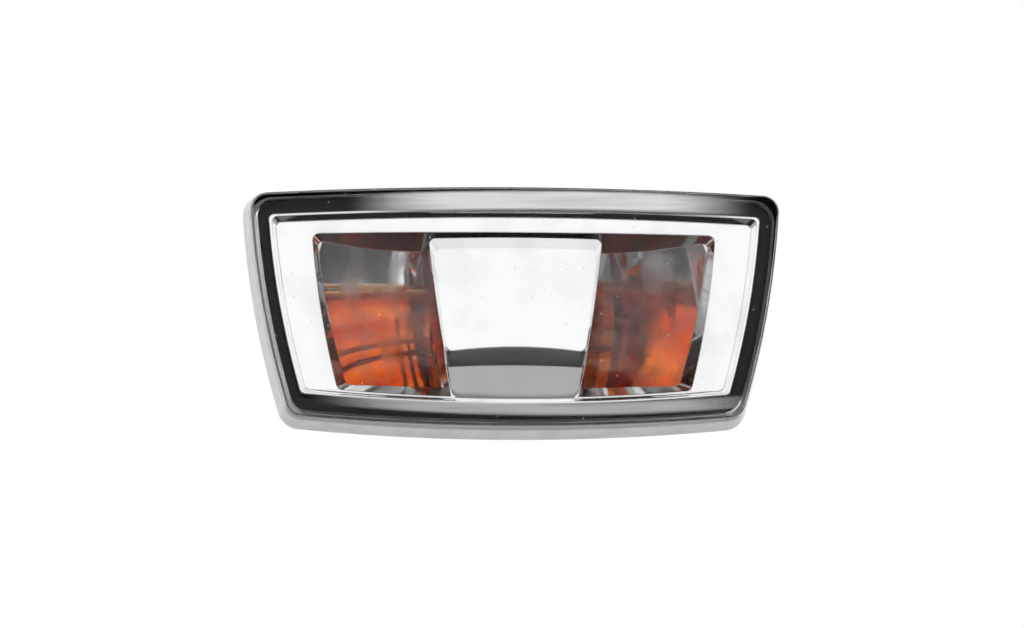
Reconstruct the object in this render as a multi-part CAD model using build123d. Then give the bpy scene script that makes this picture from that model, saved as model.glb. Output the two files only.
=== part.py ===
from build123d import *
import os
from math import asin, cos, radians, sin, sqrt, tan

# Side repeater lamp, in millimetres.
# The front faces -Y, +Y goes into the body of the car and +Z is up.
# y = 0 is the outer face of the body panel that the seal rests on, and the bulb's axis is the Y axis.

# Outline of the lens at the edge of its skirt, taken between the corners before they are rounded
outline_top_width = 77.2
outline_bottom_width = 65.3
outline_top = 17.3
outline_bottom = 16.0
outline_top_crown = 1.15
outline_bottom_crown = 1.65
outline_side_crown = 1.15
outline_corner = 3.2

# Seal between the lamp and the panel
seal_thickness = 1.5
seal_edge_inset = 0.4
seal_body_clearance = 0.3

# Outer lens
lens_depth = 10.0
lens_crown = 1.0
lens_draft = 6.8
lens_wall = 1.0
lens_front_corner = 2.2
lens_edge_round = 0.4

# Housing
housing_rim_height = 4.6
housing_ledge = 2.0
housing_rim_clearance = 0.1
housing_side_inset = 8.2
housing_top_inset = 5.9
housing_bottom_inset = 4.9
housing_wall = 1.6
housing_corner = 2.0
housing_floor = 12.0
housing_draft = 1.5

# Clips that hold the housing in the panel's opening
clip_panel_gap = 2.2
hook_reach = 4.0
hook_length = 4.8
hook_lip = 1.2
hook_width = 11.0
spring_root = 9.6
spring_offset = 3.4
spring_wall = 1.2
spring_bend = 1.9
spring_barb = 1.1
spring_barb_length = 3.6
spring_width = 8.0

# Twist lock of the bulb holder
collar_bore = 20.2
collar_wall = 1.6
collar_length = 4.4
collar_lip = 1.6
lock_bore = 16.6
lock_clearance = 0.3
lug_count = 3
lug_radius = 9.7
lug_angle = 30.0
lug_thickness = 1.6
notch_angle = 38.0
lock_turn = 45.0
gusset_thickness = 1.4
gusset_reach = 7.0
gusset_height = 4.0
gusset_offset = 5.0

# Chromed bezel
bezel_front_gap = 1.0
bezel_rim_clearance = 0.1
bezel_side_inset = 3.5
bezel_top_inset = 3.9
bezel_bottom_inset = 4.3
bezel_corner = 0.8
bezel_wall = 1.2
bead_width = 0.42
bead_step_depth = 2.0
bead_step_run = 0.54
bead_round = 0.2
frame_fall = 0.12
frame_wall = 1.0

# Window pocket through the bezel, set in from the lens outline
# Its rear edge is straight behind the shield and bows forwards at both ends
pocket_upper_side_inset = 9.9
pocket_lower_side_inset = 7.55
pocket_top_inset = 6.2
pocket_bottom_inset = 5.0
pocket_top_crown = 0.35
pocket_bottom_crown = 1.1
pocket_side_crown = 0.5
pocket_corner = 1.0
pocket_top_draft = 21.0
pocket_bottom_draft = 17.6
pocket_side_draft = 25.0
pocket_wall = 0.8
pocket_depth = 5.4
pocket_flat_width = 24.0
pocket_bow_radius = 35.6

# Shield in the middle of the bezel: front panel, bevelled shoulder, waist, knee, and foot on the frame
panel_top_width = 23.1
panel_bottom_width = 19.4
panel_top = 8.6
panel_bottom = 5.9
panel_top_crown = 0.2
panel_bottom_arch = 0.7
panel_side_crown = 0.15
panel_corner = 0.9
panel_gap = 1.4
shoulder_top_width = 24.6
shoulder_bottom_width = 20.0
shoulder_top = 10.2
shoulder_bottom = 6.3
shoulder_depth = 0.25
waist_top_width = 24.8
waist_bottom_width = 19.6
waist_top = 10.3
waist_bottom = 7.95
waist_bottom_arch = 0.3
waist_depth = 1.3
knee_top_width = 24.9
knee_bottom_width = 18.8
knee_top = 10.35
knee_bottom = 10.15
knee_crown = 0.05
knee_depth = 2.0
foot_top_width = 25.0
foot_bottom_width = 17.8
foot_top = 10.4
foot_bottom = 12.6
foot_crown = 0.25
foot_corner = 1.3
shield_depth = 2.6
shield_draft = 7.0
shield_wall = 1.2

# Reflector behind the pocket, a parabola in plan that is dished from top to bottom
reflector_wall = 0.8
reflector_gap = 0.12
reflector_side_inset = 0.3
reflector_front = -3.2
reflector_dish_radius = 40.0
reflector_bulb_hole = 12.4

# Wedge-base bulb
bulb_tip = -4.0
bulb_diameter = 10.3
bulb_glass_wall = 0.6
bulb_length = 26.8
bulb_wedge_width = 9.4
bulb_wedge_thickness = 2.2
bulb_capsule_length = 12.0
filament_depth = 6.9
filament_span = 4.4
filament_rise = 1.0
filament_wire = 0.3
lead_wire = 0.4
lead_fold = 6.0

# Bulb holder
holder_front_gap = 0.6
holder_flange_diameter = 23.0
holder_flange_thickness = 2.0
holder_bulb_clearance = 0.3
holder_slot_clearance = 0.2
holder_web = 1.6
grip_width = 18.0
grip_height = 7.0
shroud_width = 14.4
shroud_height = 10.0
shroud_wall = 1.2
shroud_depth = 7.6
shroud_corner = 1.2
holder_seal_thickness = 0.7
holder_seal_diameter = 22.0

# Brass contacts
contact_wall = 0.5
contact_width = 2.8
contact_blade_offset = 2.1
contact_blade_length = 6.0
contact_clearance = 0.05

# Levels along Y that several pieces share
skirt_y = -seal_thickness
lens_front_y = skirt_y - lens_depth
rim_front_y = skirt_y - housing_rim_height
ledge_y = skirt_y - housing_ledge
bead_y = lens_front_y + lens_crown + lens_wall + bezel_front_gap
step_y = bead_y + bead_step_depth
frame_y = step_y + frame_fall
panel_y = lens_front_y + lens_wall + panel_gap
foot_y = panel_y + shield_depth
pocket_back_y = frame_y + pocket_depth
housing_back_y = housing_floor + housing_wall
collar_end_y = housing_back_y + collar_length
flange_y = collar_end_y + lock_clearance + holder_seal_thickness
flange_back_y = flange_y + holder_flange_thickness
bulb_end_y = bulb_tip + bulb_length
web_y = bulb_end_y + lead_wire + holder_slot_clearance
shroud_floor_y = web_y + holder_web
shroud_end_y = shroud_floor_y + shroud_depth
filament_y = bulb_tip + filament_depth
dish_axis_y = filament_y - reflector_dish_radius

# Sizes that follow from the lens
lens_wall_across = lens_wall / cos(radians(lens_draft))
pocket_top_width = outline_top_width - 2 * pocket_upper_side_inset
pocket_bottom_width = outline_bottom_width - 2 * pocket_lower_side_inset
pocket_top = outline_top - pocket_top_inset
pocket_bottom = outline_bottom - pocket_bottom_inset
reflector_half_width = pocket_top_width / 2 - reflector_side_inset


class FourSided:
    """A four-sided outline whose edges are shallow arcs, each bulging outwards by its crown."""

    def __init__(self, top_width, bottom_width, top, bottom, top_crown, bottom_crown, side_crown):
        self.corners = [
            Vector(-bottom_width / 2, -bottom),
            Vector(bottom_width / 2, -bottom),
            Vector(top_width / 2, top),
            Vector(-top_width / 2, top),
        ]
        self.crowns = [bottom_crown, side_crown, top_crown, side_crown]

    def face(self, corner, bottom=0.0, side=0.0, top=0.0):
        """The filled outline with every edge moved inwards by its own inset and the corners rounded."""
        insets = [bottom, side, top, side]
        circles = []
        for index, (crown, inset) in enumerate(zip(self.crowns, insets)):
            start = self.corners[index]
            end = self.corners[(index + 1) % 4]
            circles.append(edge_circle(start, end, crown, inset))
        points = [meet(circles[index - 1], circles[index], self.corners[index]) for index in range(4)]
        arcs = []
        for index, (centre, radius) in enumerate(circles):
            start = points[index]
            end = points[(index + 1) % 4]
            middle = centre + ((start + end) / 2 - centre).normalized() * radius
            arcs.append(ThreePointArc(start, middle, end))
        filled = make_face(arcs)
        return fillet(filled.vertices(), corner)


def edge_circle(start, end, crown, inset):
    """Centre and radius of the arc from start to end, moved inwards by an inset."""
    chord = end - start
    outwards = Vector(chord.Y, -chord.X).normalized()
    radius = ((chord.length / 2) ** 2 + crown ** 2) / (2 * crown)
    centre = (start + end) / 2 - outwards * (radius - crown)
    return centre, abs(radius - inset)


def meet(first, second, near):
    """The crossing of two circles that lies nearest to a point."""
    first_centre, first_radius = first
    second_centre, second_radius = second
    between = second_centre - first_centre
    axis = between.normalized()
    along = (first_radius ** 2 - second_radius ** 2 + between.length ** 2) / (2 * between.length)
    across = Vector(-axis.Y, axis.X) * sqrt(first_radius ** 2 - along ** 2)
    foot = first_centre + axis * along
    return min(foot + across, foot - across, key=lambda point: (point - near).length)


lens_outline = FourSided(
    outline_top_width, outline_bottom_width, outline_top, outline_bottom,
    outline_top_crown, outline_bottom_crown, outline_side_crown,
)
pocket_outline = FourSided(
    pocket_top_width, pocket_bottom_width, pocket_top, pocket_bottom,
    pocket_top_crown, pocket_bottom_crown, pocket_side_crown,
)
panel_outline = FourSided(
    panel_top_width, panel_bottom_width, panel_top, panel_bottom,
    panel_top_crown, -panel_bottom_arch, panel_side_crown,
)
shoulder_outline = FourSided(
    shoulder_top_width, shoulder_bottom_width, shoulder_top, shoulder_bottom,
    panel_top_crown, -panel_bottom_arch, panel_side_crown,
)
waist_outline = FourSided(
    waist_top_width, waist_bottom_width, waist_top, waist_bottom,
    panel_top_crown, -waist_bottom_arch, panel_side_crown,
)
knee_outline = FourSided(
    knee_top_width, knee_bottom_width, knee_top, knee_bottom,
    panel_top_crown, knee_crown, panel_side_crown,
)
foot_outline = FourSided(
    foot_top_width, foot_bottom_width, foot_top, foot_bottom,
    foot_crown, foot_crown, foot_crown,
)


def facing_front(y):
    """A plane across the lamp at a depth y, with X to the right, Z up and its normal to the front."""
    return Plane(origin=(0, y, 0), x_dir=(1, 0, 0), z_dir=(0, -1, 0))


def slab(face, front, back):
    """A face pulled straight through the lamp from one depth to another."""
    return extrude(facing_front(back) * face, amount=back - front)


def taper(*sections):
    """A straight-sided solid through outlines at their depths, given as pairs from the front to the back."""
    return loft([facing_front(depth) * face for depth, face in sections], ruled=True)


def disc(diameter, front, back):
    """A round bar on the bulb's axis."""
    return slab(Circle(diameter / 2), front, back)


def bar(width, height, front, back):
    """A rectangular bar on the bulb's axis."""
    return slab(Rectangle(width, height), front, back)


def sectors(radius, angle, turn, front, back):
    """Equal pie slices round the bulb's axis, as many as the lock has lugs."""
    edge = radius * 2
    half = radians(angle / 2)
    wedge = make_face(Polyline(
        (0, 0), (edge * cos(half), -edge * sin(half)), (edge * cos(half), edge * sin(half)), close=True,
    ))
    slice_face = wedge & Circle(radius)
    slices = Sketch()
    for index in range(lug_count):
        slices += Rot(0, 0, turn + 360 / lug_count * index) * slice_face
    return slab(slices, front, back)


def lens_section(inset, corner):
    """The lens outline moved inwards evenly."""
    return lens_outline.face(corner, bottom=inset, side=inset, top=inset)


def bezel_section(inset, corner):
    """The bezel's outline moved inwards evenly, set in further from the lens at the top and bottom."""
    return lens_outline.face(
        corner,
        bottom=bezel_bottom_inset + inset,
        side=bezel_side_inset + inset,
        top=bezel_top_inset + inset,
    )


def housing_section(outset, corner):
    """The inside of the housing's cup, moved outwards evenly."""
    return lens_outline.face(
        corner,
        bottom=housing_bottom_inset - outset,
        side=housing_side_inset - outset,
        top=housing_top_inset - outset,
    )


def pocket_section(depth, outset=0.0):
    """The window pocket's outline at a depth behind the frame's inner edge."""
    return pocket_outline.face(
        pocket_corner,
        bottom=depth * tan(radians(pocket_bottom_draft)) - outset,
        side=depth * tan(radians(pocket_side_draft)) - outset,
        top=depth * tan(radians(pocket_top_draft)) - outset,
    )


def pocket_side(offset, level):
    """What lies between a level and the curve of the pocket's rear edge, moved back by an offset."""
    flat = pocket_flat_width / 2
    reach = pocket_top_width / 2 + pocket_wall + reflector_wall
    radius = pocket_bow_radius + offset
    centre = pocket_back_y - pocket_bow_radius
    sweep_angle = asin((reach - flat) / radius)
    near, middle, far = [
        (flat + radius * sin(sweep_angle * share), centre + radius * cos(sweep_angle * share))
        for share in (0.0, 0.5, 1.0)
    ]
    edges = [
        ThreePointArc(near, middle, far),
        *Polyline(far, (reach, level), (-reach, level), (-far[0], far[1])).edges(),
        ThreePointArc((-far[0], far[1]), (-middle[0], middle[1]), (-near[0], near[1])),
        Line((-near[0], near[1]), near),
    ]
    return extrude(make_face(edges), amount=outline_top_width / 2, both=True)


def crowned(solid, thickness):
    """What lies behind the lens's spherical front, or behind a sphere a wall thickness below it."""
    half = outline_top_width / 2 - lens_depth * tan(radians(lens_draft))
    radius = (half ** 2 + lens_crown ** 2) / (2 * lens_crown)
    return solid & Pos(0, lens_front_y + radius, 0) * Sphere(radius - thickness)


def outer_lens():
    """Clear cover: a crowned front wall and a skirt that flares out to the panel."""
    fall = lens_depth * tan(radians(lens_draft))
    body = crowned(taper(
        (lens_front_y, lens_section(fall, lens_front_corner)),
        (skirt_y, lens_section(0, outline_corner)),
    ), 0)
    front = body.faces().sort_by(Axis.Y)[0]
    body = fillet(front.edges(), lens_edge_round)
    cavity = crowned(taper(
        (lens_front_y, lens_section(fall + lens_wall_across, lens_front_corner)),
        (skirt_y, lens_section(lens_wall_across, outline_corner)),
    ), lens_wall)
    return body - cavity


def shield():
    """Hollow block in the middle of the bezel and its hollow: facets down to the foot, then deep legs."""
    leg = pocket_back_y - foot_y
    spread = leg * tan(radians(shield_draft))

    def foot(inset):
        return foot_outline.face(foot_corner, bottom=inset, side=inset, top=inset)

    def panel(inset):
        return panel_outline.face(panel_corner, bottom=inset, side=inset, top=inset)

    def legs(inset):
        wide = foot_outline.face(foot_corner, bottom=inset, side=inset - spread, top=inset)
        return taper((foot_y, foot(inset)), (pocket_back_y, wide))

    head = taper(
        (panel_y, panel(0)),
        (panel_y + shoulder_depth, shoulder_outline.face(panel_corner)),
        (panel_y + waist_depth, waist_outline.face(panel_corner)),
        (panel_y + knee_depth, knee_outline.face(panel_corner)),
        (foot_y, foot(0)),
    )
    hollow = taper((panel_y + shield_wall, panel(shield_wall)), (foot_y, foot(shield_wall)))
    return head + legs(0), hollow + legs(shield_wall)


def chrome_bezel():
    """Metallised frame with a bead round it, one wide pocket through it and the shield across the pocket."""
    step_inset = bead_width + bead_step_run
    step_face = bezel_section(step_inset, bezel_corner)
    rim = slab(bezel_section(0, bezel_corner), bead_y, ledge_y)
    rim = fillet(rim.faces().sort_by(Axis.Y)[0].edges(), bead_round)
    rim -= slab(bezel_section(bezel_wall, bezel_corner), step_y + frame_wall, ledge_y)
    funnel = taper(
        (step_y, bezel_section(step_inset / 2, bezel_corner)),
        (step_y + frame_wall, bezel_section(step_inset / 2, bezel_corner)),
        (frame_y + frame_wall, pocket_section(0, pocket_wall)),
    )
    tube = taper(
        (frame_y, pocket_section(0, pocket_wall)),
        (pocket_back_y, pocket_section(pocket_depth, pocket_wall)),
    )
    mouth = taper(
        (bead_y, bezel_section(bead_width, bezel_corner)),
        (step_y, step_face),
        (frame_y, pocket_section(0)),
    )
    pocket = taper((frame_y, pocket_section(0)), (pocket_back_y, pocket_section(pocket_depth)))
    block, block_hollow = shield()
    block = block & (funnel + tube + mouth + slab(step_face, panel_y, step_y))
    body = rim + funnel + tube - mouth - pocket + block - block_hollow
    reach = slab(pocket_section(0, pocket_wall + reflector_gap), lens_front_y, housing_floor)
    return body - (pocket_side(0, housing_floor) & reach)


def reflector_dish(half_width, floor):
    """Parabola in plan with its focus on the filament, turned about a cross axis and cut flat at a floor."""
    reach = filament_y - reflector_front
    focal = (sqrt(reach ** 2 + half_width ** 2) - reach) / 2
    control = filament_y + focal + half_width ** 2 / (4 * focal)
    parabola = Bezier((half_width, reflector_front), (0, control), (-half_width, reflector_front))
    sides = Polyline(
        (-half_width, reflector_front),
        (-half_width, frame_y),
        (half_width, frame_y),
        (half_width, reflector_front),
    )
    plan = make_face([parabola, *sides.edges()])
    dish = revolve(plan, axis=Axis((0, dish_axis_y, 0), (1, 0, 0)))
    return dish & bar(outline_top_width, outline_top_width, lens_front_y, floor)


def reflector():
    """Metallised dish with flat top and bottom walls, open at the front and pierced for the bulb."""

    def outline(inset):
        face = pocket_outline.face(pocket_corner, bottom=inset, side=inset, top=inset)
        return slab(face, lens_front_y, housing_back_y)

    body = reflector_dish(reflector_half_width, housing_floor) & outline(0)
    cavity = reflector_dish(reflector_half_width - reflector_wall, housing_floor - reflector_wall)
    body -= cavity & outline(reflector_wall)
    body -= disc(reflector_bulb_hole, lens_front_y, housing_back_y)
    return body - pocket_side(reflector_gap, lens_front_y)


def clips(body_x):
    """Rigid hook on the left end of the housing and sprung arm on its right end."""
    root = body_x - housing_wall / 2
    hook = make_face(Polyline(
        (-root, clip_panel_gap),
        (-body_x - hook_reach, clip_panel_gap),
        (-body_x - hook_reach, clip_panel_gap + hook_lip),
        (-root, clip_panel_gap + hook_length),
        close=True,
    ))
    arm_x = body_x + spring_offset
    arm_points = [(root, spring_root), (arm_x, spring_root), (arm_x, clip_panel_gap)]
    arm = trace(FilletPolyline(*arm_points, radius=spring_bend), spring_wall)
    barb_x = arm_x + spring_wall / 2
    barb = make_face(Polyline(
        (barb_x - spring_wall / 2, clip_panel_gap),
        (barb_x + spring_barb, clip_panel_gap),
        (barb_x, clip_panel_gap + spring_barb_length),
        (barb_x - spring_wall / 2, clip_panel_gap + spring_barb_length),
        close=True,
    ))
    spring = extrude(arm + barb, amount=spring_width / 2, both=True)
    return extrude(hook, amount=hook_width / 2, both=True) + spring


def gussets():
    """Triangular ribs that brace the collar against the back wall."""
    radius = collar_bore / 2 + collar_wall
    start = sqrt(radius ** 2 - (gusset_offset - gusset_thickness / 2) ** 2) - collar_wall / 2
    profile = make_face(Polyline(
        (start, housing_back_y - housing_wall / 2),
        (start + gusset_reach, housing_back_y - housing_wall / 2),
        (start + gusset_reach, housing_back_y),
        (start, housing_back_y + gusset_height),
        close=True,
    ))
    rib = extrude(profile, amount=gusset_thickness / 2, both=True)
    ribs = Part()
    for offset in (-gusset_offset, gusset_offset):
        ribs += Pos(0, 0, offset) * rib
        ribs += Pos(0, 0, offset) * mirror(rib, about=Plane.YZ)
    return ribs


def housing():
    """Black rear case: rim inside the lens skirt, cup through the panel, clips and a collar."""
    fall = housing_rim_height * tan(radians(lens_draft))
    rim_inset = lens_wall_across + housing_rim_clearance
    rim = taper(
        (rim_front_y, lens_section(rim_inset + fall, outline_corner)),
        (skirt_y, lens_section(rim_inset, outline_corner)),
    )
    fall_back = (housing_back_y - skirt_y) * tan(radians(housing_draft))
    fall_floor = (housing_floor - ledge_y) * tan(radians(housing_draft))
    cup = taper(
        (skirt_y, housing_section(housing_wall, housing_corner + housing_wall)),
        (housing_back_y, housing_section(housing_wall - fall_back, housing_corner + housing_wall)),
    )
    hollow = taper(
        (ledge_y, housing_section(0, housing_corner)),
        (housing_floor, housing_section(-fall_floor, housing_corner)),
    )
    hollow += slab(bezel_section(-bezel_rim_clearance, bezel_corner), rim_front_y, ledge_y)
    middle_half = (outline_top_width + outline_bottom_width) / 4 + outline_side_crown
    body_x = middle_half - housing_side_inset + housing_wall
    collar = disc(collar_bore + 2 * collar_wall, housing_floor, collar_end_y)
    body = rim + cup + collar + gussets() - hollow
    body += clips(body_x) - slab(housing_section(-fall_floor, housing_corner), ledge_y, housing_floor)
    lip_y = collar_end_y - collar_lip
    body -= disc(collar_bore, housing_floor - housing_wall, lip_y)
    body -= disc(lock_bore, lip_y, collar_end_y)
    notch_radius = lug_radius + lock_clearance
    return body - sectors(notch_radius, notch_angle, lock_turn, lip_y, collar_end_y)


def panel_seal():
    """Flat soft ring that the whole lamp rests on."""
    hole = seal_body_clearance + housing_wall
    edge = max(outline_corner - seal_edge_inset, housing_corner)
    ring = slab(lens_section(seal_edge_inset, edge), skirt_y, 0)
    return ring - slab(housing_section(hole, housing_corner + hole), skirt_y, 0)


def bulb_holder():
    """Twist-lock holder: neck with lugs, flange, grip and the shroud that takes the plug."""
    neck_y = housing_floor + holder_front_gap
    neck = lock_bore - 2 * lock_clearance
    lip_y = collar_end_y - collar_lip
    body = disc(neck, neck_y, flange_y)
    body += sectors(lug_radius, lug_angle, 0, lip_y - lock_clearance - lug_thickness, lip_y - lock_clearance)
    body += disc(holder_flange_diameter, flange_y, flange_back_y)
    body += bar(grip_width, grip_height, flange_back_y, web_y)
    shroud_face = fillet(Rectangle(shroud_width, shroud_height).vertices(), shroud_corner)
    body += slab(shroud_face, flange_back_y, shroud_end_y)
    body -= bar(shroud_width - 2 * shroud_wall, shroud_height - 2 * shroud_wall, shroud_floor_y, shroud_end_y)
    capsule_end = bulb_tip + bulb_capsule_length + bulb_diameter / 2
    body -= disc(bulb_diameter + 2 * holder_bulb_clearance, neck_y, capsule_end + holder_bulb_clearance)
    wide = bulb_wedge_width + 2 * holder_slot_clearance
    thick = bulb_wedge_thickness + 2 * holder_slot_clearance
    body -= bar(wide, thick, neck_y, web_y)
    body -= contact_channel(neck_y, web_y)
    return body - contact_slots()


def contact_channel(front, back):
    """Room beside the wedge for the contacts and the folded wires."""
    reach = contact_blade_offset + contact_wall / 2 + contact_clearance
    return bar(contact_width + 2 * contact_clearance, 2 * reach, front, back) + bar(
        filament_span + 2 * lead_wire, 2 * contact_rest(), front, back)


def contact_rest():
    """How far the outer side of a contact lies from the bulb's axis where it grips a folded wire."""
    return bulb_wedge_thickness / 2 + lead_wire + 2 * contact_clearance + contact_wall


def contact_slots():
    """Slots through the web that the two blades pass through."""
    slot = Rectangle(contact_width + 2 * contact_clearance, contact_wall + 2 * contact_clearance)
    pair = Pos(0, contact_blade_offset) * slot + Pos(0, -contact_blade_offset) * slot
    return slab(pair, web_y, shroud_floor_y)


def holder_seal():
    """Rubber ring in front of the holder's flange."""
    inner = lock_bore - 2 * lock_clearance
    return disc(holder_seal_diameter, flange_y - holder_seal_thickness, flange_y) - disc(inner, 0, flange_y)


def contact_upper():
    """Brass strip that presses on one folded wire of the bulb and ends as a plug blade."""
    grip_z = contact_rest() - contact_wall / 2
    start = bulb_end_y - lead_fold - contact_wall
    path = Polyline(
        (start, grip_z),
        (bulb_end_y, grip_z),
        (web_y - contact_wall, contact_blade_offset),
        (shroud_floor_y + contact_blade_length, contact_blade_offset),
    )
    strip = Plane.YZ * trace(path, contact_wall)
    return extrude(strip, amount=contact_width / 2, both=True)


def contact_lower():
    """The same strip on the other side of the wedge."""
    return mirror(contact_upper(), about=Plane.XY)


def bulb_lead(side):
    """Wire from the filament through the pinched base, folded back along one side of the wedge."""
    x = side * filament_span / 2
    fold_z = side * (bulb_wedge_thickness / 2 + lead_wire / 2 + contact_clearance)
    turn_y = bulb_end_y + lead_wire / 2 + contact_clearance
    path = FilletPolyline(
        (x, filament_y, 0), (x, turn_y, 0), (x, turn_y, fold_z), (x, bulb_end_y - lead_fold, fold_z),
        radius=lead_wire * 0.9,
    )
    return sweep(facing_front(filament_y) * Pos(x, 0) * Circle(lead_wire / 2), path=path)


def bulb_lead_left():
    """Wire that ends on the lower contact."""
    return bulb_lead(-1)


def bulb_lead_right():
    """Wire that ends on the upper contact."""
    return bulb_lead(1)


def bulb_glass():
    """Round-ended glass capsule that runs into a flat pinched wedge."""

    def capsule(radius):
        start = bulb_tip + bulb_diameter / 2
        end = bulb_tip + bulb_capsule_length
        ball = Sphere(radius)
        return disc(2 * radius, start, end) + Pos(0, start, 0) * ball + Pos(0, end, 0) * ball

    wedge = bar(bulb_wedge_width, bulb_wedge_thickness, bulb_tip + bulb_capsule_length, bulb_end_y)
    body = capsule(bulb_diameter / 2) + wedge
    body -= capsule(bulb_diameter / 2 - bulb_glass_wall)
    return body - bulb_lead_left() - bulb_lead_right()


def bulb_filament():
    """Tungsten bow between the tips of the two wires."""
    half = filament_span / 2
    path = ThreePointArc((-half, filament_y, 0), (0, filament_y - filament_rise, 0), (half, filament_y, 0))
    start = Plane(origin=path @ 0, z_dir=path % 0)
    wire = sweep(start * Circle(filament_wire / 2), path=path)
    return wire - bulb_lead_left() - bulb_lead_right()


PIECES = [
    outer_lens,
    chrome_bezel,
    reflector,
    housing,
    panel_seal,
    bulb_holder,
    holder_seal,
    contact_upper,
    contact_lower,
    bulb_glass,
    bulb_filament,
    bulb_lead_left,
    bulb_lead_right,
]

os.makedirs("parts", exist_ok=True)
for piece in PIECES:
    export_step(piece(), f"parts/{piece.__name__}.step")
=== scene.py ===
# %% [markdown]
# # Dressing a side repeater lamp
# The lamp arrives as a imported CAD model: every moulding is already in its place and at its real size, in
# metres. Nothing here moves or resizes a CAD piece. The lesson gives each one its finish, adds the few
# details that are too fine for the CAD model, and sets up a small photo studio round the lamp.

import math

import bpy
from mathutils import Euler, Matrix, Vector


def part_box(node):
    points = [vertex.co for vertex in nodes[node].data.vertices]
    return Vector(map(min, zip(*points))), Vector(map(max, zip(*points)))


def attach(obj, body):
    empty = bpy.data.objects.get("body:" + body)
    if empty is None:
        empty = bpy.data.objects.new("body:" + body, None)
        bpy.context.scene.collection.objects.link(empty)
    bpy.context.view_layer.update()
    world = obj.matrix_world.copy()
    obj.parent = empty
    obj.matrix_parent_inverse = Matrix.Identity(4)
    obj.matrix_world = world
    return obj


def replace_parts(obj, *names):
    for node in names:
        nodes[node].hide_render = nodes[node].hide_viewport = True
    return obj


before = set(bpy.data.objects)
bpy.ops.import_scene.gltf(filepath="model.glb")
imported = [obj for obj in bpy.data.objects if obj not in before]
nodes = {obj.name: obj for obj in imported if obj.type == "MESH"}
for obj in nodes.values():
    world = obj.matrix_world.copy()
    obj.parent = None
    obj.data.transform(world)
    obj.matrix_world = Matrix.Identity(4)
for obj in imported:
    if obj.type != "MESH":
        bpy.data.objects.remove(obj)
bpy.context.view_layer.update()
MM = 0.001

# %% [markdown]
# ## The camera
# A camera is a place, a direction and a lens. The picture was taken a little from the lamp's left and a
# little from below, from far enough away that the sides hardly converge. So the camera goes on a sphere
# round the lamp, at an azimuth and an elevation, and its focal length follows from how many pixels one
# metre covers at that distance. Aiming by hand in the viewport would work too, but numbers can be checked
# against the picture.

# %% Put the camera where the photographer stood
IMAGE_WIDTH = 1024
PIXELS_PER_METRE = 7040.0
VIEW_AZIMUTH = math.radians(-4.1)
VIEW_ELEVATION = math.radians(-6.8)
VIEW_ROLL = math.radians(-0.2)
VIEW_DISTANCE = 0.6
VIEW_TARGET = Vector((-0.25 * MM, -5.0 * MM, 0.0))


def direction(azimuth, elevation):
    """Unit vector from the lamp towards an azimuth, counted from the front, and an elevation."""
    level = math.cos(elevation)
    return Vector((math.sin(azimuth) * level, -math.cos(azimuth) * level, math.sin(elevation)))


def add_camera():
    camera = bpy.data.objects.new("photo_camera", bpy.data.cameras.new("photo_camera"))
    bpy.context.scene.collection.objects.link(camera)
    towards_camera = direction(VIEW_AZIMUTH, VIEW_ELEVATION)
    aim = (-towards_camera).to_track_quat("-Z", "Y").to_matrix()
    camera.rotation_euler = (aim @ Matrix.Rotation(VIEW_ROLL, 3, "Z")).to_euler()
    camera.location = VIEW_TARGET + towards_camera * VIEW_DISTANCE
    camera.data.lens = camera.data.sensor_width * VIEW_DISTANCE * PIXELS_PER_METRE / IMAGE_WIDTH
    bpy.context.scene.camera = camera
    return camera


camera = add_camera()
print(f"camera with a {camera.data.lens:.0f} mm lens at {[round(c, 3) for c in camera.location]}")

# %% [markdown]
# ## Writing shader maths as plain arithmetic
# Every finish below is a node tree. Wiring Math nodes by hand is slow to read, so one small class wraps
# an output socket and answers +, - and *: an expression such as 1 - mask then adds the Math nodes by
# itself. A second class stands for the tree and has one method that adds any other node.

# %% Two helpers for node trees
class Wire:
    """An output socket. Arithmetic on it adds Math nodes to its tree."""

    def __init__(self, bench, socket):
        self.bench = bench
        self.socket = socket

    def maths(self, operation, first, second):
        return self.bench.node("ShaderNodeMath", {"operation": operation}, {0: first, 1: second})

    def __add__(self, other):
        return self.maths("ADD", self, other)

    def __radd__(self, other):
        return self.maths("ADD", other, self)

    def __sub__(self, other):
        return self.maths("SUBTRACT", self, other)

    def __rsub__(self, other):
        return self.maths("SUBTRACT", other, self)

    def __mul__(self, other):
        return self.maths("MULTIPLY", self, other)

    def __rmul__(self, other):
        return self.maths("MULTIPLY", other, self)

    def __abs__(self):
        return self.maths("ABSOLUTE", self, 0.0)

    def sine(self):
        return self.maths("SINE", self, 0.0)

    def cosine(self):
        return self.maths("COSINE", self, 0.0)

    def above(self, limit):
        """1 where the value is over a limit and 0 elsewhere."""
        return self.maths("GREATER_THAN", self, limit)

    def largest(self, other):
        return self.maths("MAXIMUM", self, other)

    def fade(self, start, end):
        """0 on one side of a stretch of values, 1 on the other and a smooth change between them."""
        sockets = {"Value": self, "From Min": start, "From Max": end}
        return self.bench.node("ShaderNodeMapRange", {"interpolation_type": "SMOOTHSTEP"}, sockets)

    def along(self, axis):
        """One component of a vector."""
        return self.bench.node("ShaderNodeSeparateXYZ", {}, {"Vector": self}, output=axis)


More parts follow.
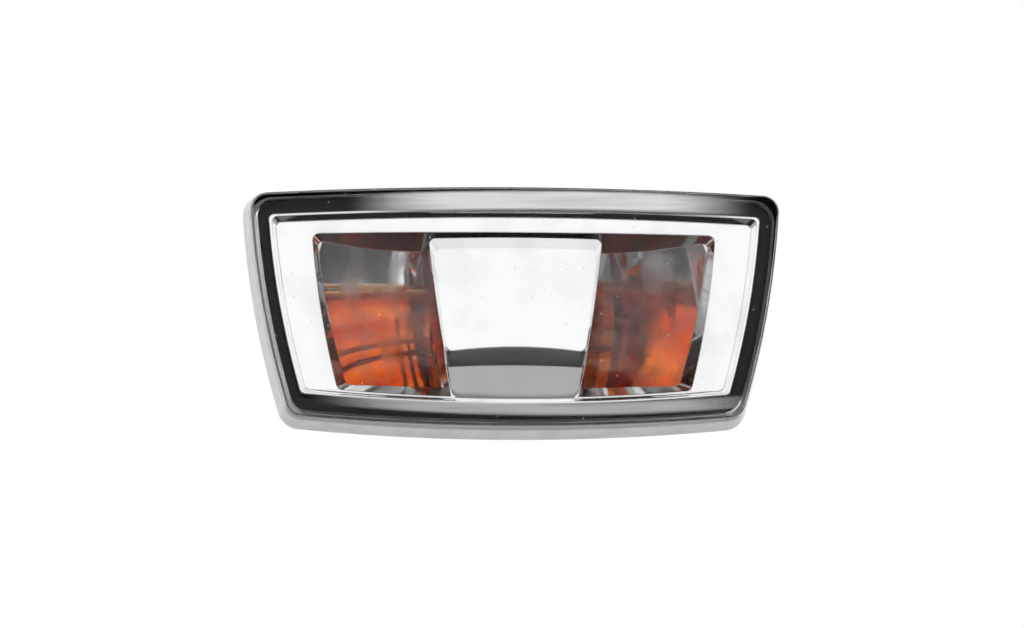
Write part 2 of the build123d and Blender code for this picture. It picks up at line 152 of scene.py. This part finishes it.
class Bench:
    """A node tree, and one way to add a node to it."""

    def __init__(self, tree):
        self.tree = tree

    def plug(self, socket, value):
        if isinstance(value, Wire):
            self.tree.links.new(value.socket, socket)
        else:
            socket.default_value = value

    def node(self, kind, settings=None, sockets=None, output=0):
        """Adds a node, sets it up, fills or links its sockets and hands back one of its outputs."""
        node = self.tree.nodes.new(kind)
        for name, value in (settings or {}).items():
            if name == "stops":
                self.set_stops(node.color_ramp.elements, value)
            else:
                setattr(node, name, value)
        for name, value in (sockets or {}).items():
            self.plug(node.inputs[name], value)
        return Wire(self, node.outputs[output])

    def set_stops(self, elements, stops):
        """Gives a ramp its stops, written as pairs of a place and a colour."""
        while len(elements) < len(stops):
            elements.new(1.0)
        for element, (place, colour) in zip(elements, stops):
            element.position = place
            element.color = (*colour, 1.0)


print("helpers ready: Wire and Bench")

# %% [markdown]
# ## Patterns that several finishes share
# Most surfaces need the same three ingredients: a place on the piece, some noise at a real size, and a
# bump made from that noise. The place comes from Object coordinates, which stay with the piece when it is
# turned, and the noise is asked for by the size of its grains in metres, because that is how a maker
# would describe a texture. A moulded edge is never quite sharp, so the bump can also round the edges off
# in the shading.

# %% A finish with noise and bump at real sizes
class Finish(Bench):
    """A material that starts from one Principled shader."""

    def __init__(self, name, **values):
        self.material = bpy.data.materials.new(name)
        self.material.use_nodes = True
        super().__init__(self.material.node_tree)
        self.shader = self.tree.nodes["Principled BSDF"]
        self.output = self.tree.nodes["Material Output"]
        self.set(**values)
        self.place = self.node("ShaderNodeTexCoord", output="Object")
        self.facing = self.node("ShaderNodeTexCoord", output="Normal")

    def set(self, **values):
        """Fills or links the shader's own sockets, with words joined by an underscore."""
        for name, value in values.items():
            self.plug(self.shader.inputs[name.replace("_", " ")], value)

    def stretched(self, x, y, z):
        """The place on the piece, with each axis scaled, so that noise on it comes out drawn."""
        return self.node("ShaderNodeMapping", {}, {"Vector": self.place, "Scale": (x, y, z)})

    def noise(self, grain, detail=2.0, place=None):
        sockets = {"Vector": place or self.place, "Scale": 1.0 / grain, "Detail": detail}
        return self.node("ShaderNodeTexNoise", {}, sockets)

    def ramp(self, value, *stops):
        return self.node("ShaderNodeValToRGB", {"stops": stops}, {"Fac": value})

    def bump(self, height, depth, edge_round=None):
        """Makes a height pattern stand up, so many metres deep, and can round off sharp edges."""
        sockets = {"Height": height, "Distance": depth}
        if edge_round:
            sockets["Normal"] = self.node("ShaderNodeBevel", {"samples": 8}, {"Radius": edge_round})
        self.set(Normal=self.node("ShaderNodeBump", {}, sockets))

    def overlay(self, share, **values):
        """Lays a second shader over the first one, with a share of it between 0 and 1."""
        sockets = {name.replace("_", " "): value for name, value in values.items()}
        second = self.node("ShaderNodeBsdfPrincipled", {}, sockets)
        first = Wire(self, self.shader.outputs["BSDF"])
        mixed = self.node("ShaderNodeMixShader", {}, {0: share, 1: first, 2: second})
        self.tree.links.new(mixed.socket, self.output.inputs["Surface"])

    def coat(self, *names):
        """Gives the finish to CAD pieces."""
        for name in names:
            nodes[name].material_slots[0].material = self.material
        print(f"{self.material.name}: {', '.join(names)}")


print("finish class ready")

# %% [markdown]
# ## Where the lens isn't clear
# The cover is one acrylic moulding, and parts of it are less than clear. Behind its first few millimetres
# the skirt is satin, with streaks along the way it was drawn from the mould. The middles of the upper and
# lower edges carry painted glare, a whitish band. A faint whitish veil in front of the two windows is
# painted reflection, and a few specks of dust sit on the front. All of it could be painted on an image.
# Functions of the place on the lens are chosen instead, one for each effect, because every line of them
# can be read and changed.

# %% Satin, painted glare, painted veil and dust as numbers from 0 to 1
def satin_skirt(finish, front):
    """How satin the skirt is. It faces sideways, and its first part is nearly clear."""
    streaks = finish.noise(4.0 * MM, detail=3.0, place=finish.stretched(1.0, 0.5, 1.0))
    depth = finish.place.along("Y") - front
    sideways = abs(finish.facing.along("Y")).fade(0.8, 0.3)
    return sideways * (0.08 + depth.fade(3.0 * MM, 4.0 * MM) * (0.36 + streaks * 0.4))


def painted_edge_glare(finish, inwards, bow, middle, half_width, near, far):
    """How much painted glare lies in a band along a bowed edge, between two distances inwards from that
    edge.
    """
    soft = 0.3 * MM
    x = finish.place.along("X") - middle
    inwards = inwards - x * x * bow
    streaks = finish.noise(0.5 * MM, detail=3.0, place=finish.stretched(0.04, 1.0, 1.0))
    band = inwards.fade(near - soft, near + soft) * inwards.fade(far + soft, far - soft)
    return band * abs(x).fade(half_width * 1.35, half_width * 0.65) * (0.6 + streaks * 0.7)


def window_painted_veil(finish):
    """How much painted reflection veils the lens in front of the two windows, most of it at the bulb's
    height.
    """
    x = abs(finish.place.along("X"))
    z = abs(finish.place.along("Z") - 1.0 * MM)
    # Painted reflection: a whitish veil beside the shield, strongest at the bulb's height.
    beside_shield = x.fade(10.0 * MM, 13.0 * MM) * x.fade(29.0 * MM, 25.0 * MM)
    veil_strength = z.fade(12.0 * MM, 8.0 * MM) * 0.02 + z.fade(8.0 * MM, 2.0 * MM) * 0.04
    return beside_shield * veil_strength * (0.5 + finish.noise(5.0 * MM))


def dust_specks(finish):
    """1 on a speck and 0 elsewhere: the middles of a few cells of a cell pattern on the outer face."""
    across = {"X": finish.place.along("X"), "Y": finish.place.along("Z")}
    settings = {"voronoi_dimensions": "2D"}
    sockets = {"Vector": finish.node("ShaderNodeCombineXYZ", {}, across), "Scale": 1.0 / (2.4 * MM)}
    distance = finish.node("ShaderNodeTexVoronoi", settings, sockets)
    chance = finish.node("ShaderNodeTexVoronoi", settings, sockets, output="Color").along("X")
    outside = finish.facing.along("Y").fade(-0.5, -0.8)
    return distance.fade(0.05, 0.02) * chance.above(0.86) * outside


# The fog in this list is the painted veil of reflection before the windows, and the edges carry painted
# glare.
print("lens patterns ready: skirt, edges, fog and dust")

# %% [markdown]
# ## Clear lens
# Acrylic is close to glass, a little less dense, so it bends light by 1.49. Its surface has slow waves
# from the cooling of the thick plastic, far too shallow to see on their own, but they make what is behind
# them swim. All that isn't clear is a white satin shader laid over the clear one: frost on the skirt,
# painted glare at the edges and a painted veil of reflection before the windows. Wherever two patterns
# meet, the larger one counts, so that the satin never shows more than once.

# %% Clear acrylic
def clear_acrylic():
    finish = Finish(
        "clear_acrylic",
        Base_Color=(0.993, 0.997, 0.997, 1.0),
        Roughness=0.0,
        IOR=1.49,
        Specular_Tint=(0.12, 0.12, 0.12, 1.0),
        Transmission_Weight=1.0,
    )
    finish.bump(finish.noise(6.0 * MM, detail=1.0), 0.01 * MM)
    low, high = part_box("outer_lens")
    z = finish.place.along("Z")
    # Painted glare: whitish bands along the middles of the upper and lower edges.
    upper = painted_edge_glare(
        finish, high.z - z, bow=0.8, middle=5.0 * MM, half_width=21.5 * MM, near=1.75 * MM, far=4.25 * MM,
    )
    lower = painted_edge_glare(
        finish, z - low.z, bow=1.55, middle=4.0 * MM, half_width=25.0 * MM, near=2.7 * MM, far=4.3 * MM,
    )
    # The satin share holds real frost on the skirt, painted glare at the edges and a painted veil before
    # the windows.
    frost_and_painted_light = satin_skirt(finish, low.y).largest(upper).largest(lower * 0.5).largest(window_painted_veil(finish))
    satin = frost_and_painted_light.largest(dust_specks(finish) * 0.5)
    finish.overlay(satin, Base_Color=(0.97, 0.97, 0.97, 1.0), Roughness=0.6)
    return finish


clear_acrylic().coat("outer_lens")

# %% [markdown]
# ## Metallised plastic
# The bezel and the reflector are plastic mouldings with a film of aluminium, put on in a vacuum. The film
# copies the mould's polish, so it is a mirror with the faintest orange peel, dulled where it has been
# touched. Faces that look down, such as the roof of the window pocket, get a darker colour: painted shade.
# The reflector has also gathered a little dust, laid over it as a matt shader. A plain metal shader would
# do from far away, but the chrome fills most of the picture.

# %% Vacuum-coated aluminium
def vacuum_chrome(name, brightness, brightness_in_shade, polish, dullest, edge_round):
    finish = Finish(name, Metallic=1.0)
    smudge = finish.noise(6.0 * MM, detail=4.0).fade(0.42, 0.75)
    # Painted shade: faces that look down, such as the roof of the window pocket, get a darker base colour.
    painted_shade_facing_down = finish.facing.along("Z").fade(-0.5, -0.8)
    film_and_painted_shade = brightness - smudge * 0.08 - painted_shade_facing_down * (brightness - brightness_in_shade)
    finish.set(Base_Color=finish.ramp(film_and_painted_shade, (0.0, (0.0,) * 3), (1.0, (1.0,) * 3)))
    finish.set(Roughness=polish + smudge * dullest)
    finish.bump(finish.noise(1.4 * MM, detail=1.0), 0.0015 * MM, edge_round)
    return finish


def bezel_chrome():
    return vacuum_chrome(
        "bezel_chrome", brightness=0.97, brightness_in_shade=0.3, polish=0.015, dullest=0.05, edge_round=0.25 * MM,
    )


def reflector_chrome():
    finish = vacuum_chrome(
        "reflector_chrome", brightness=0.98, brightness_in_shade=0.85, polish=0.02, dullest=0.16, edge_round=0.3 * MM,
    )
    dust = finish.noise(3.0 * MM, detail=4.0).fade(0.3, 0.75)
    finish.overlay(dust * 0.2, Base_Color=(0.80, 0.68, 0.64, 1.0), Roughness=0.8)
    return finish


bezel_chrome().coat("chrome_bezel")
reflector_chrome().coat("reflector")

# %% [markdown]
# ## Black housing and seals
# The rear case is black plastic from a spark-eroded mould: a satin surface with a fine even grain. The
# seals are rubber, which is duller and has open pores. Each takes its colour and its gloss from one and
# the same noise, because on a real surface the two go together.

# %% Grained black plastic and rubber
def grained_black():
    finish = Finish("grained_black", Specular_IOR_Level=0.3)
    grain = finish.noise(0.16 * MM, detail=3.0)
    cloud = finish.noise(9.0 * MM, detail=3.0)
    finish.set(Base_Color=finish.ramp(cloud, (0.3, (0.006,) * 3), (0.8, (0.012, 0.012, 0.013))))
    finish.set(Roughness=0.36 + cloud * 0.16)
    finish.bump(grain, 0.012 * MM, 0.2 * MM)
    return finish


def seal_rubber():
    finish = Finish("seal_rubber")
    pores = finish.noise(0.25 * MM, detail=4.0)
    finish.set(Base_Color=finish.ramp(pores, (0.3, (0.010,) * 3), (0.8, (0.028, 0.028, 0.027))))
    finish.set(Roughness=0.72 + pores * 0.2)
    finish.bump(pores, 0.03 * MM)
    return finish


grained_black().coat("housing")
seal_rubber().coat("panel_seal", "holder_seal")

# %% [markdown]
# ## Bulb holder and contacts
# The holder is glass-filled nylon: short fibres float to its skin and leave pale flecks along the way the
# plastic flowed. The contacts are stamped from rolled brass strip, so their scratches all run along the
# strip. Noise that is stretched along one axis gives both.

# %% Nylon and brass
def filled_nylon():
    finish = Finish("filled_nylon")
    flecks = finish.noise(0.12 * MM, detail=2.0, place=finish.stretched(1.0, 0.25, 1.0))
    finish.set(Base_Color=finish.ramp(flecks, (0.45, (0.022, 0.022, 0.024)), (0.85, (0.07, 0.07, 0.072))))
    finish.set(Roughness=0.5 - flecks * 0.15)
    finish.bump(flecks, 0.008 * MM, 0.2 * MM)
    return finish


def rolled_brass():
    finish = Finish("rolled_brass", Metallic=1.0)
    streaks = finish.noise(0.08 * MM, detail=3.0, place=finish.stretched(1.0, 0.04, 1.0))
    tarnish = finish.noise(2.0 * MM, detail=3.0)
    finish.set(Base_Color=finish.ramp(tarnish, (0.35, (0.80, 0.58, 0.24)), (0.75, (0.52, 0.36, 0.15))))
    finish.set(Roughness=0.2 + streaks * 0.2)
    finish.bump(streaks, 0.003 * MM)
    return finish


holder_nylon = filled_nylon()
holder_nylon.coat("bulb_holder")
rolled_brass().coat("contact_upper", "contact_lower")

# %% [markdown]
# ## Amber bulb
# The colour of the lamp is in its bulb: amber glass, pinched flat at the base. The bulb itself hides
# behind the shield, and what the picture shows is its image in the reflector, many times its size, so
# even small streaks in the glass count. The wires that pass through the glass are clad in copper, because
# it swells with heat as glass does, and the filament is plain tungsten.

# %% Amber glass and wire
def amber_glass():
    finish = Finish("amber_glass", Roughness=0.0, IOR=1.5, Transmission_Weight=1.0)
    streak = finish.noise(1.6 * MM, detail=3.0, place=finish.stretched(1.0, 0.4, 1.0))
    tints = ((0.36, (0.74, 0.17, 0.03)), (0.50, (0.96, 0.34, 0.06)), (0.68, (1.00, 0.54, 0.16)))
    finish.set(Base_Color=finish.ramp(streak, *tints))
    finish.bump(streak, 0.02 * MM)
    return finish


def drawn_wire(name, bright, dull):
    finish = Finish(name, Metallic=1.0)
    heat = finish.noise(1.2 * MM, detail=2.0)
    finish.set(Base_Color=finish.ramp(heat, (0.3, bright), (0.7, dull)))
    finish.set(Roughness=0.25 + heat * 0.3)
    return finish


amber_glass().coat("bulb_glass")
copper_clad = drawn_wire("copper_clad_wire", bright=(0.95, 0.55, 0.34), dull=(0.82, 0.40, 0.22))
copper_clad.coat("bulb_lead_left", "bulb_lead_right")
tungsten = drawn_wire("tungsten_wire", bright=(0.50, 0.50, 0.52), dull=(0.36, 0.35, 0.37))

# %% [markdown]
# ## Growing details from a rule
# Two details are too fine for the CAD model, and both follow a rule: the filament is a coil along a bow,
# and the holder's flange has finger ribs at even steps round its edge. Geometry Nodes suit such pieces,
# because a few named numbers drive the whole shape. The helper keeps the grown result as a plain mesh, so
# that nothing depends on the modifier later on.

# %% A helper for grown pieces
class Growth(Bench):
    """A geometry tree with named sizes, which makes one piece."""

    def __init__(self, name, finish, **sizes):
        super().__init__(bpy.data.node_groups.new(name, "GeometryNodeTree"))
        self.name = name
        self.finish = finish
        self.sizes = sizes
        for size, value in sizes.items():
            kind = {int: "NodeSocketInt", float: "NodeSocketFloat"}.get(type(value), "NodeSocketVector")
            self.tree.interface.new_socket(size, in_out="INPUT", socket_type=kind)
        self.tree.interface.new_socket("Geometry", in_out="OUTPUT", socket_type="NodeSocketGeometry")

    def size(self, name):
        return self.node("NodeGroupInput", output=name)

    def vector(self, operation, first, second):
        """Vector Math on two vectors, or on a vector and a number that scales it."""
        other = "Scale" if operation == "SCALE" else 1
        return self.node("ShaderNodeVectorMath", {"operation": operation}, {0: first, other: second})

    def piece(self, geometry, body, slot):
        """Ends the tree, grows it and hands back a plain mesh that rides on a body."""
        solid = self.node("GeometryNodeRealizeInstances", {}, {0: geometry})
        smooth = self.node("GeometryNodeSetShadeSmooth", {}, {"Geometry": solid})
        sockets = {"Geometry": smooth, "Material": self.finish.material}
        painted = self.node("GeometryNodeSetMaterial", {}, sockets)
        self.tree.links.new(painted.socket, self.tree.nodes.new("NodeGroupOutput").inputs[0])
        piece = bpy.data.objects.new(self.name, bpy.data.meshes.new(self.name))
        bpy.context.scene.collection.objects.link(piece)
        modifier = piece.modifiers.new(self.name, "NODES")
        modifier.node_group = self.tree
        for item in self.tree.interface.items_tree:
            if item.in_out == "INPUT":
                modifier[item.identifier] = self.sizes[item.name]
        grown = piece.evaluated_get(bpy.context.evaluated_depsgraph_get())
        piece.data = bpy.data.meshes.new_from_object(grown)
        piece.modifiers.remove(modifier)
        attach(piece, body)
        print(f"{self.name}: {len(piece.data.polygons)} faces")
        return piece


print("growth class ready")

# %% [markdown]
# ## Coiled filament
# Tungsten wire is wound into a coil so that a long wire fits between the two leads and keeps its own
# heat. The path is an arc between the tips of the leads, as high as the CAD bow. Each point of the arc is
# then pushed sideways, and the push turns round the path as it goes along, which is what a winding
# machine does.

# %% Wind the filament
COIL_TURNS = 26
POINTS_PER_TURN = 12
COIL_RADIUS = 0.20 * MM
WIRE_RADIUS = 0.035 * MM


def coiled_filament():
    left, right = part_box("bulb_lead_left"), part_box("bulb_lead_right")
    bow_low, bow_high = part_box("bulb_filament")
    start = Vector(((left[0].x + left[1].x) / 2, left[0].y, 0.0))
    end = Vector(((right[0].x + right[1].x) / 2, right[0].y, 0.0))
    middle = Vector((0.0, bow_low.y + (bow_high.z - bow_low.z) / 2, 0.0))
    growth = Growth(
        "coiled_filament", tungsten, Start=start, Middle=middle, End=end,
        Turns=COIL_TURNS, Points=COIL_TURNS * POINTS_PER_TURN, Coil=COIL_RADIUS, Wire=WIRE_RADIUS,
    )
    ends = {name: growth.size(name) for name in ("Start", "Middle", "End")}
    sockets = {"Resolution": growth.size("Points"), **ends}
    path = growth.node("GeometryNodeCurveArc", {"mode": "POINTS"}, sockets)
    angle = growth.node("GeometryNodeSplineParameter") * growth.size("Turns") * math.tau
    aside = Vector((0.0, 0.0, 1.0))
    across = growth.vector("CROSS_PRODUCT", growth.node("GeometryNodeInputTangent"), aside)
    sideways = growth.vector("SCALE", across, angle.cosine())
    upwards = growth.vector("SCALE", aside, angle.sine())
    push = growth.vector("SCALE", growth.vector("ADD", sideways, upwards), growth.size("Coil"))
    coil = growth.node("GeometryNodeSetPosition", {}, {"Geometry": path, "Offset": push})
    sockets = {"Resolution": 6, "Radius": growth.size("Wire")}
    ring = growth.node("GeometryNodeCurvePrimitiveCircle", {}, sockets)
    wire = growth.node("GeometryNodeCurveToMesh", {}, {"Curve": coil, "Profile Curve": ring})
    return growth.piece(wire, "bulb_holder", "filament_wire")


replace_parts(coiled_filament(), "bulb_filament")

# %% [markdown]
# ## Finger ribs
# The holder is turned by its flange, in a tight place behind the panel, so its edge has ribs to grip. One
# rounded rib is made and set on every corner of a many-sided ring, which has as many corners as there are
# ribs.

# %% Ribs round the flange of the bulb holder
FLANGE_THICKNESS = 2.0 * MM
RIB_COUNT = 44
RIB_RADII = Vector((0.36 * MM, 0.9 * MM, 0.36 * MM))


def finger_ribs():
    flange_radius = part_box("bulb_holder")[1].x
    flange_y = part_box("holder_seal")[1].y
    middle = Vector((0.0, flange_y + FLANGE_THICKNESS / 2, 0.0))
    growth = Growth(
        "finger_ribs", holder_nylon, Count=RIB_COUNT, Ring=flange_radius, Middle=middle, Rib=RIB_RADII,
    )
    sockets = {"Vertices": growth.size("Count"), "Radius": growth.size("Ring")}
    ring = growth.node("GeometryNodeMeshCircle", {}, sockets)
    upright = Euler((math.pi / 2, 0.0, 0.0))
    sockets = {"Geometry": ring, "Translation": growth.size("Middle"), "Rotation": upright}
    ring = growth.node("GeometryNodeTransform", {}, sockets)
    ball = growth.node("GeometryNodeMeshUVSphere", {}, {"Segments": 12, "Rings": 10, "Radius": 1.0})
    rib = growth.node("GeometryNodeTransform", {}, {"Geometry": ball, "Scale": growth.size("Rib")})
    ribs = growth.node("GeometryNodeInstanceOnPoints", {}, {"Points": ring, "Instance": rib})
    return growth.piece(ribs, "bulb_holder", "holder_plastic")


finger_ribs()

# %% [markdown]
# ## A white room
# The lamp hangs in a white room. The room shows as pure white to the camera, in the chrome and through
# the glass, and lights the matt surfaces a little less, so that they keep their own colour. A clear cover
# over two mirrors also passes light to and fro many times: with too few bounces the inside of the lamp
# would go black.

# %% White room and enough bounces
ROOM_FILL = 0.8
MIRROR_BOUNCES = 24
OTHER_BOUNCES = 8


def white_room():
    world = bpy.data.worlds.new("white_room")
    bpy.context.scene.world = world
    world.use_nodes = True
    bench = Bench(world.node_tree)
    seen = bench.node("ShaderNodeLightPath", output="Is Camera Ray")
    mirrored = bench.node("ShaderNodeLightPath", output="Is Glossy Ray")
    refracted = bench.node("ShaderNodeLightPath", output="Is Transmission Ray")
    shown = seen.largest(mirrored).largest(refracted)
    background = world.node_tree.nodes["Background"]
    bench.plug(background.inputs["Color"], (1.0, 1.0, 1.0, 1.0))
    bench.plug(background.inputs["Strength"], ROOM_FILL + shown * (1.0 - ROOM_FILL))


def allow_bounces():
    paths = bpy.context.scene.cycles
    paths.glossy_bounces = MIRROR_BOUNCES
    paths.transmission_bounces = MIRROR_BOUNCES
    paths.max_bounces = MIRROR_BOUNCES + OTHER_BOUNCES


white_room()
allow_bounces()
print(f"white room with a fill light of {ROOM_FILL}, {MIRROR_BOUNCES} bounces")

# %% [markdown]
# ## The floor
# A plain pale floor lies a hand's breadth under the lamp. It takes the lamp's shadow and gives the facets
# that face down their grey. It could be one of Blender's own planes. It is built from a centre and two
# edges, because the cards of the next step are made the same way. Floor and cards are stage, not lamp.

# %% Pale floor
FLOOR_DROP = 0.090
FLOOR_SIZE = 3.0


def flat_card(name, centre, across, along, finish):
    """A rectangle on the stage, given by its centre and its two edge vectors."""
    middle, across, along = Vector(centre), Vector(across) / 2, Vector(along) / 2
    corners = [middle + across * side + along * end for side, end in ((-1, -1), (1, -1), (1, 1), (-1, 1))]
    mesh = bpy.data.meshes.new(name)
    mesh.from_pydata(corners, [], [(0, 1, 2, 3)])
    mesh.materials.append(finish.material)
    card = bpy.data.objects.new(name, mesh)
    bpy.context.scene.collection.objects.link(card)
    return card


def plain_board(name, darker, paler):
    """Matt board, with a slow change of tone."""
    finish = Finish(name, Roughness=0.9)
    finish.set(Base_Color=finish.ramp(finish.noise(0.4), (0.3, (darker,) * 3), (0.7, (paler,) * 3)))
    return finish


def pale_floor():
    finish = plain_board("pale_board", 0.79, 0.81)
    return flat_card("pale_floor", (0, 0, -FLOOR_DROP), (FLOOR_SIZE, 0, 0), (0, FLOOR_SIZE, 0), finish)


pale_floor()
print(f"floor {FLOOR_DROP} m under the bulb's axis")

# %% [markdown]
# ## Cards for the chrome
# Chrome only shows what stands round it, so in an all-white room it would vanish. A product photographer
# puts cards just outside the picture, and each edge of the metal and of the clear cover then draws itself
# as a line. Black cards give the dark lines, a grey one the tone of the shield's foot, and sheets of
# tracing paper the faint shades. They show only in chrome and clear plastic: the camera doesn't see them,
# and they cast no shadow.

# %% Black, grey and pale cards
CARD_DISTANCE = 0.6
CARD_LIFT = 0.001


def facing_card(name, azimuth, elevation, width, height, finish):
    """A card that faces the lamp from an azimuth and an elevation."""
    towards = direction(math.radians(azimuth), math.radians(elevation))
    across = towards.cross(Vector((0, 0, 1))).normalized()
    return flat_card(name, towards * CARD_DISTANCE, across * width, across.cross(towards) * height, finish)


def pale_cards():
    finish = plain_board("tracing_paper", 0.80, 0.84)
    finish.set(Alpha=0.35)
    return [
        facing_card("upper_card", 4.0, 26.0, 0.60, 0.14, finish),
        facing_card("left_card", -46.0, 7.0, 0.10, 0.40, finish),
        facing_card("right_card", 55.0, 7.0, 0.10, 0.40, finish),
    ]


def grey_cards():
    finish = plain_board("grey_board", 0.50, 0.52)
    low = CARD_LIFT - FLOOR_DROP
    return [flat_card("middle_card", (0, -0.21, low), (0.60, 0, 0), (0, 0.18, 0), finish)]


def dark_cards():
    finish = plain_board("black_board", 0.018, 0.022)
    low = 2 * CARD_LIFT - FLOOR_DROP
    return [
        flat_card("near_card", (0, -0.060, low), (0.60, 0, 0), (0, 0.12, 0), finish),
        flat_card("far_card", (0, -0.525, low), (1.00, 0, 0), (0, 0.45, 0), finish),
        flat_card("top_card", (0, 0.018, 0.15), (0.30, 0, 0), (0, 0.22, 0), finish),
        flat_card("side_card", (0.15, 0.058, 0.055), (0, 0.24, 0), (0, 0, 0.19), finish),
    ]


cards = dark_cards() + pale_cards() + grey_cards()
for card in cards:
    card.visible_camera = False
    card.visible_diffuse = False
    card.visible_shadow = False
print(f"{len(cards)} cards: {', '.join(card.name for card in cards)}")

# %% [markdown]
# ## The view transform
# The picture uses the plain Standard view transform, so that a colour renders as it is written.

# %% Use the Standard view transform
bpy.context.scene.view_settings.view_transform = "Standard"
